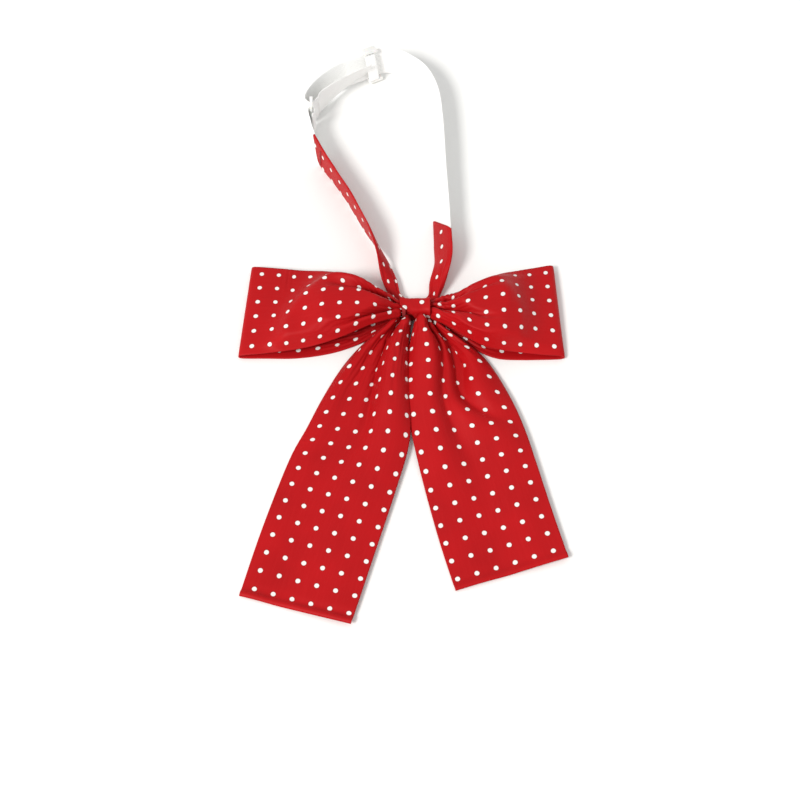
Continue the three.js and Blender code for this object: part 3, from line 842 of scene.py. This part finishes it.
def make_knot_seam():
    """The overlap that closes the knot's band at the back, sewn flat."""
    low, high = (np.array(v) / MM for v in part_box("knot_seam"))
    count, wide = 14, 20
    a = np.linspace(0, 1, count)
    b = np.linspace(0, 1, wide)
    x = low[0] + (high[0] - low[0]) * a
    z = low[2] + (high[2] - low[2]) * b
    grid = np.stack(np.meshgrid(x, z, indexing="ij"), -1)
    y = low[1] + 0.25 + 0.12 * np.sin(grid[..., 1] * 2.2)
    grid = np.stack([grid[..., 0], y, grid[..., 1]], -1)
    uv = np.stack([grid[..., 0] + 4, grid[..., 2] + 5], -1)
    piece = sheet_mesh("knot_seam_cloth", grid, uv)
    thicken(piece, 0.0004)
    place_piece(piece, dotted_cloth(), "knot", "knot_seam")


def make_gather_thread(name):
    """Thread wound round the gathered waist: a round cord carried along a coil whose turns
    are rounded boxes."""
    low, high = (np.array(v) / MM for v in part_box(name))
    radius, turns = 0.22, 6
    count = turns * 40
    angle = np.linspace(0, 2 * np.pi * turns, count)
    c, s = np.cos(angle), np.sin(angle)
    half = (high - low) / 2 - radius - 0.05
    centre = (high + low) / 2
    path = np.stack([
        low[0] + radius + (high[0] - low[0] - 2 * radius) * np.linspace(0, 1, count),
        centre[1] + half[1] * np.sign(c) * np.abs(c) ** 0.5,
        centre[2] + half[2] * np.sign(s) * np.abs(s) ** 0.5,
    ], -1)
    piece = cord_mesh(f"{name}_winding", path, radius)
    place_piece(piece, sewing_thread(), "knot", name)


def cord_mesh(name, path, radius):
    """A round cord: a circle carried along a path, square to it."""
    along = np.gradient(path, axis=0)
    along /= np.linalg.norm(along, axis=1)[:, None] + 1e-9
    up = np.array([1.0, 0.02, 0.03]) * np.ones_like(path)  # never along the path
    side = np.cross(along, up)
    side /= np.linalg.norm(side, axis=1)[:, None] + 1e-9
    other = np.cross(side, along)
    angle = np.linspace(0, 2 * np.pi, 6, endpoint=False)
    grid = path[:, None] + radius * (
        side[:, None] * np.cos(angle)[None, :, None] + other[:, None] * np.sin(angle)[None, :, None]
    )
    grid = np.concatenate([grid, grid[:, :1]], axis=1)
    uv = np.zeros(grid.shape[:2] + (2,))
    return closed_tube(name, grid, uv)


def make_tack(name, stations, side, reach):
    """A bar tack: a row of short stitches side by side across the strap's outer face, each
    arched over the cloth. It ends at the distance reach from the strap's free end."""
    count = 240
    centre, across, face, wide, length = strip(stations, STRAP_WIDTH, count, outwards=side)
    stitches = 9
    parts = []
    for k in range(stitches):
        v = (k / (stitches - 1) * 2 - 1) * 0.62
        at = np.linspace(length - reach - 2.0, length - reach, 8)
        i = np.clip((at / length * (count - 1)).astype(int), 0, count - 1)
        lift = 1.15 + 0.28 * np.sin(np.linspace(0, np.pi, 8))
        path = centre[i] + across[i] * (v * wide[i] / 2)[:, None]
        path = path - side * face[i] * lift[:, None]
        parts.append(cord_mesh(f"{name}_{k}", path, 0.2))
    piece = join_pieces(f"{name}_stitches", parts)
    place_piece(piece, sewing_thread(), "neckband", name)


def join_pieces(name, parts):
    """Puts several meshes together as one."""
    made = bmesh.new()
    for part in parts:
        made.from_mesh(part.data)
    mesh = bpy.data.meshes.new(name)
    made.to_mesh(mesh)
    made.free()
    for part in parts:
        old = part.data
        bpy.data.objects.remove(part)
        bpy.data.meshes.remove(old)
    obj = bpy.data.objects.new(name, mesh)
    bpy.context.collection.objects.link(obj)
    return obj


# ---- white bands ----
SLIDER_AT = np.array([-27.5, 188.75])
RUN = np.array([-2.0, -1.0]) / math.sqrt(5)  # direction of the straight run past the slider
LEAN = 70.0
LIFT = 3.17  # height of the band's lower edge where the slider keeps it off the table


def on_run(s, inwards=0.0):
    """A station on the straight run past the slider, s along it and inwards from it."""
    x = SLIDER_AT[0] + RUN[0] * s - RUN[1] * inwards
    y = SLIDER_AT[1] + RUN[1] * s + RUN[0] * inwards
    return (x, y, LEAN, LIFT, 1)


LONG_BAND = [
    *RIGHT_STRAP[-2:], (16.8, 75, 60, 0.7, 1), (16.3, 100, 66, 0.7, 1), (15.6, 138, 72, 0.8, 1),
    (12.8, 163, 72, 0.9, 1), (5.5, 179.6, 70, 1.2, 1), (-5, 188.6, 70, 1.9, 1),
    (-14.5, 192.2, 70, 2.9, 1), on_run(-6.5), on_run(-3), on_run(0), on_run(8),
    on_run(15), on_run(21), (-57, 171.3, 76, LIFT, 1), (-65.6, 162, 84, LIFT, 1),
    (-69.9, 153, 90, LIFT, 1), (-65.7, 148.45, 90, LIFT, 1), (-61.5, 153, 90, LIFT, 1),
]
RETURN_BAND = [
    (-61.5, 152.6, 90, LIFT, 1), (-60.4, 156.4, 90, LIFT, 1), (-56.8, 161, 88, LIFT, 1),
    (-49.5, 168.6, 80, LIFT, 1), on_run(14, 4.5), on_run(9, 4.0), on_run(3.5, 3.9),
]
# The short band runs from its loop round the hook's tongue into the left strap.
SHORT_BAND = [
    (-64.9, 139.1, 90, LIFT, 1), (-63.7, 140.4, 90, LIFT, 1), (-63.6, 143.6, 90, LIFT, 1),
    (-65.5, 145.5, 90, LIFT, 1), (-67.4, 143.6, 90, LIFT, 1), (-67.2, 140.2, 90, LIFT, 1),
    (-66.4, 136.6, 91, 2.6, 1), (-65.2, 130.4, 94, 1.2, 1), *LEFT_STRAP[:-3:-1],
]
# The sewn end loop round the slider's inner bar: distance along the run and depth inwards.
END_LOOP = [(5.2, 4.5), (-1.65, 4.5), (-1.65, 1.4), (1.65, 1.4), (1.65, 3.5)]


def elastic(name, centre, across, face, wide, length):
    """A flat elastic band: a thin section with rounded edges carried along its middle."""
    s = bpy.context.scene.bow_band
    thick = np.full(len(centre), s.thickness / MM)
    grid, uv = tube_mesh(centre, across, face, wide, thick, 28, s.width / MM, length)
    piece = closed_tube(name, grid, uv)
    dress(piece, elastic_cloth())
    return piece, length


def make_band(name, stations, count):
    """An elastic band through its stations."""
    width = bpy.context.scene.bow_band.width / MM
    return elastic(name, *strip(stations, width, count))


def make_end_loop():
    """The long band's sewn end: a loop with rounded corners round the slider's bar."""
    width = bpy.context.scene.bow_band.width / MM
    centre, across, face = (v[10] for v in strip([on_run(-5), on_run(0), on_run(5)], width, 21)[:3])
    corners = np.array(END_LOOP)
    dense = even(np.column_stack([corners, 0 * corners[:, 0]]), 240)[0]
    for _ in range(90):
        dense[1:-1] = (dense[:-2] + 2 * dense[1:-1] + dense[2:]) / 4
    path, length = even(dense, 60)
    middle = centre + np.array([[RUN[0], RUN[1], 0]]) * path[:, :1] + face[None] * path[:, 1:2]
    along = np.gradient(middle, axis=0)
    along /= np.linalg.norm(along, axis=1)[:, None]
    up = np.broadcast_to(across, along.shape)
    wide = np.full(len(middle), width)
    return elastic("band_end_loop_elastic", middle, up, np.cross(up, along), wide, length)


def rounded(node, radius):
    """A moulded piece: the CAD shape with its corners rounded."""
    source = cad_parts[node]
    made = bmesh.new()
    made.from_mesh(source.data)
    bmesh.ops.remove_doubles(made, verts=made.verts, dist=1e-6)
    flat = [e for e in made.edges if len(e.link_faces) == 2 and e.calc_face_angle() < 0.01]
    bmesh.ops.dissolve_edges(made, edges=flat, use_verts=True)
    mesh = bpy.data.meshes.new(node + "_moulded")
    made.to_mesh(mesh)
    made.free()
    obj = bpy.data.objects.new(node + "_moulded", mesh)
    bpy.context.collection.objects.link(obj)
    edge = obj.modifiers.new("corners", "BEVEL")
    edge.width = radius
    edge.segments = 3
    edge.limit_method = "ANGLE"
    edge.angle_limit = math.radians(30)
    bake(obj)
    obj.data.polygons.foreach_set("use_smooth", np.ones(len(obj.data.polygons), bool))
    return obj


# ---- operators ----
class BOWTIE_OT_wings(bpy.types.Operator):
    """Makes the two wings of the bow"""

    bl_idname = "bowtie.wings"
    bl_label = "Wings"

    def execute(self, context):
        make_wing("left_wing", LEFT, LEFT_WING, puffed(9.0, 39, 70, 77, 4.5), 9.6, 5.6)
        make_wing("right_wing", RIGHT, RIGHT_WING, puffed(11.0, 42, 60.5, 58, 8.5), 7.5, 5.4)
        return {"FINISHED"}


class BOWTIE_OT_tails(bpy.types.Operator):
    """Makes the two long tails"""

    bl_idname = "bowtie.tails"
    bl_label = "Tails"

    def execute(self, context):
        make_tail("left_tail", LEFT, LEFT_TAIL, 1.7, 5.8, 2.9)
        make_tail("right_tail", RIGHT, RIGHT_TAIL, 0.9, 6.2, 3.1)
        return {"FINISHED"}


class BOWTIE_OT_knot(bpy.types.Operator):
    """Makes the knot: its band, the gathered waist inside it, its threads and its seam"""

    bl_idname = "bowtie.knot"
    bl_label = "Knot"

    def execute(self, context):
        make_knot_band()
        make_bundle("wing_waist", 11, 0.7)
        make_bundle("tail_tab", 7, 0.35)
        make_knot_seam()
        for name in ("left_gather_thread", "right_gather_thread"):
            make_gather_thread(name)
        return {"FINISHED"}


class BOWTIE_OT_straps(bpy.types.Operator):
    """Makes the two cloth straps of the neckband and the tacks that hold their ends"""

    bl_idname = "bowtie.straps"
    bl_label = "Straps"

    def execute(self, context):
        make_strap("left_strap", LEFT, LEFT_STRAP, 3.0, 3.5, 5.0, 0.4)
        make_strap("right_strap", RIGHT, RIGHT_STRAP, 5.0, 0.0, -8.5, 1.7)
        make_tack("left_strap_tack", LEFT_STRAP, LEFT, 6.0)
        make_tack("right_strap_tack", RIGHT_STRAP, RIGHT, 9.0)
        return {"FINISHED"}


class BOWTIE_OT_bands(bpy.types.Operator):
    """Makes the white elastic bands of the neckband and their loops"""

    bl_idname = "bowtie.bands"
    bl_label = "Bands"

    def execute(self, context):
        piece, length = make_band("long_band_elastic", LONG_BAND, 260)
        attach(piece, "neckband")
        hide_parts("long_band")
        piece, length = make_band("return_band_elastic", RETURN_BAND, 90)
        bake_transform(piece)
        piece, length = make_band("short_band_elastic", SHORT_BAND, 110)
        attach(piece, "neckband")
        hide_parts("short_band")
        piece, length = make_end_loop()
        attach(piece, "slider")
        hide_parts("band_end_loop")
        return {"FINISHED"}


class BOWTIE_OT_hardware(bpy.types.Operator):
    """Makes the plastic slider and the plastic hook"""

    bl_idname = "bowtie.hardware"
    bl_label = "Slider and hook"

    def execute(self, context):
        for node in ("slider", "hook"):
            place_piece(rounded(node, 0.0003), white_plastic(), node, node)
        return {"FINISHED"}


class BOWTIE_OT_stage(bpy.types.Operator):
    """Makes the floor, the lights and the camera"""

    bl_idname = "bowtie.stage"
    bl_label = "Stage"

    def execute(self, context):
        s = context.scene.bow_stage
        mesh = bpy.data.meshes.new("floor")
        size = 3.0
        corners = [(-size, -size, 0), (size, -size, 0), (size, size, 0), (-size, size, 0)]
        mesh.from_pydata(corners, [], [(0, 1, 2, 3)])
        floor = bpy.data.objects.new("floor", mesh)
        context.collection.objects.link(floor)
        mat, shader, add, join = nodes_of("floor_paper")
        if shader is not None:
            place = add("ShaderNodeTexCoord").outputs["Object"]
            grain = add("ShaderNodeTexNoise", Scale=3.0, Detail=2.0)
            join(place, grain.inputs["Vector"])
            patch = ramp(add, join, grain.outputs["Fac"], 0.3, 0.7, 0, 1)
            tone = mix(add, join, patch, tuple(s.floor), tuple(c * 0.995 for c in s.floor))
            join(tone, shader.inputs["Base Color"])
            shader.inputs["Roughness"].default_value = 0.9
            shader.inputs["Specular IOR Level"].default_value = 0.1
        dress(floor, mat)

        lamp = bpy.data.lights.new("main_lamp", "AREA")
        lamp.shape = "DISK"
        lamp.size = LAMP_WIDTH
        lamp.energy = s.key
        lamp.color = LAMP_COLOUR
        main = bpy.data.objects.new("main_lamp", lamp)
        aim = np.array([0.0, -0.02, 0.0])
        away = np.array(LAMP_TOWARDS)
        main.location = aim + away / np.linalg.norm(away) * LAMP_DISTANCE
        to = Vector((aim - np.array(main.location)).tolist())
        main.rotation_euler = to.to_track_quat("-Z", "Y").to_euler()
        context.collection.objects.link(main)

        world = bpy.data.worlds.new("room")
        context.scene.world = world
        world.use_nodes = True
        back = world.node_tree.nodes.get("Background")
        back.inputs["Color"].default_value = (1.0, 1.0, 1.0, 1)
        back.inputs["Strength"].default_value = s.sky
        context.scene.view_settings.view_transform = "Standard"

        lens = bpy.data.cameras.new("camera")
        lens.sensor_width = 36.0
        lens.lens = LENS
        lens.clip_start, lens.clip_end = 0.01, 20
        camera = bpy.data.objects.new("camera", lens)
        camera.location = CAMERA_AT
        camera.rotation_euler = (math.radians(CAMERA_TILT), 0, 0)
        context.collection.objects.link(camera)
        context.scene.camera = camera
        return {"FINISHED"}


class BOWTIE_PT_panel(bpy.types.Panel):
    bl_label = "Bow tie"
    bl_idname = "BOWTIE_PT_panel"
    bl_space_type = "VIEW_3D"
    bl_region_type = "UI"
    bl_category = "Bow tie"

    def draw(self, context):
        for group in (context.scene.bow_cloth, context.scene.bow_band, context.scene.bow_stage):
            box = self.layout.box()
            for key in group.bl_rna.properties.keys():
                if key not in ("rna_type", "name"):
                    box.prop(group, key)
        for operator in OPERATORS:
            self.layout.operator(operator.bl_idname)


GROUPS = (BowClothSettings, BowBandSettings, BowStageSettings)
OPERATORS = (
    BOWTIE_OT_stage, BOWTIE_OT_wings, BOWTIE_OT_tails, BOWTIE_OT_knot,
    BOWTIE_OT_straps, BOWTIE_OT_bands, BOWTIE_OT_hardware,
)


def register():
    for cls in (*GROUPS, *OPERATORS, BOWTIE_PT_panel):
        bpy.utils.register_class(cls)
    bpy.types.Scene.bow_cloth = PointerProperty(type=BowClothSettings)
    bpy.types.Scene.bow_band = PointerProperty(type=BowBandSettings)
    bpy.types.Scene.bow_stage = PointerProperty(type=BowStageSettings)


def unregister():
    del bpy.types.Scene.bow_cloth, bpy.types.Scene.bow_band, bpy.types.Scene.bow_stage
    for cls in reversed((*GROUPS, *OPERATORS, BOWTIE_PT_panel)):
        bpy.utils.unregister_class(cls)


def main():
    register()
    bpy.ops.bowtie.stage()
    bpy.ops.bowtie.wings()
    bpy.ops.bowtie.tails()
    bpy.ops.bowtie.knot()
    bpy.ops.bowtie.straps()
    bpy.ops.bowtie.bands()
    bpy.ops.bowtie.hardware()
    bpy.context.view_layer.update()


if __name__ == "__main__":
    main()
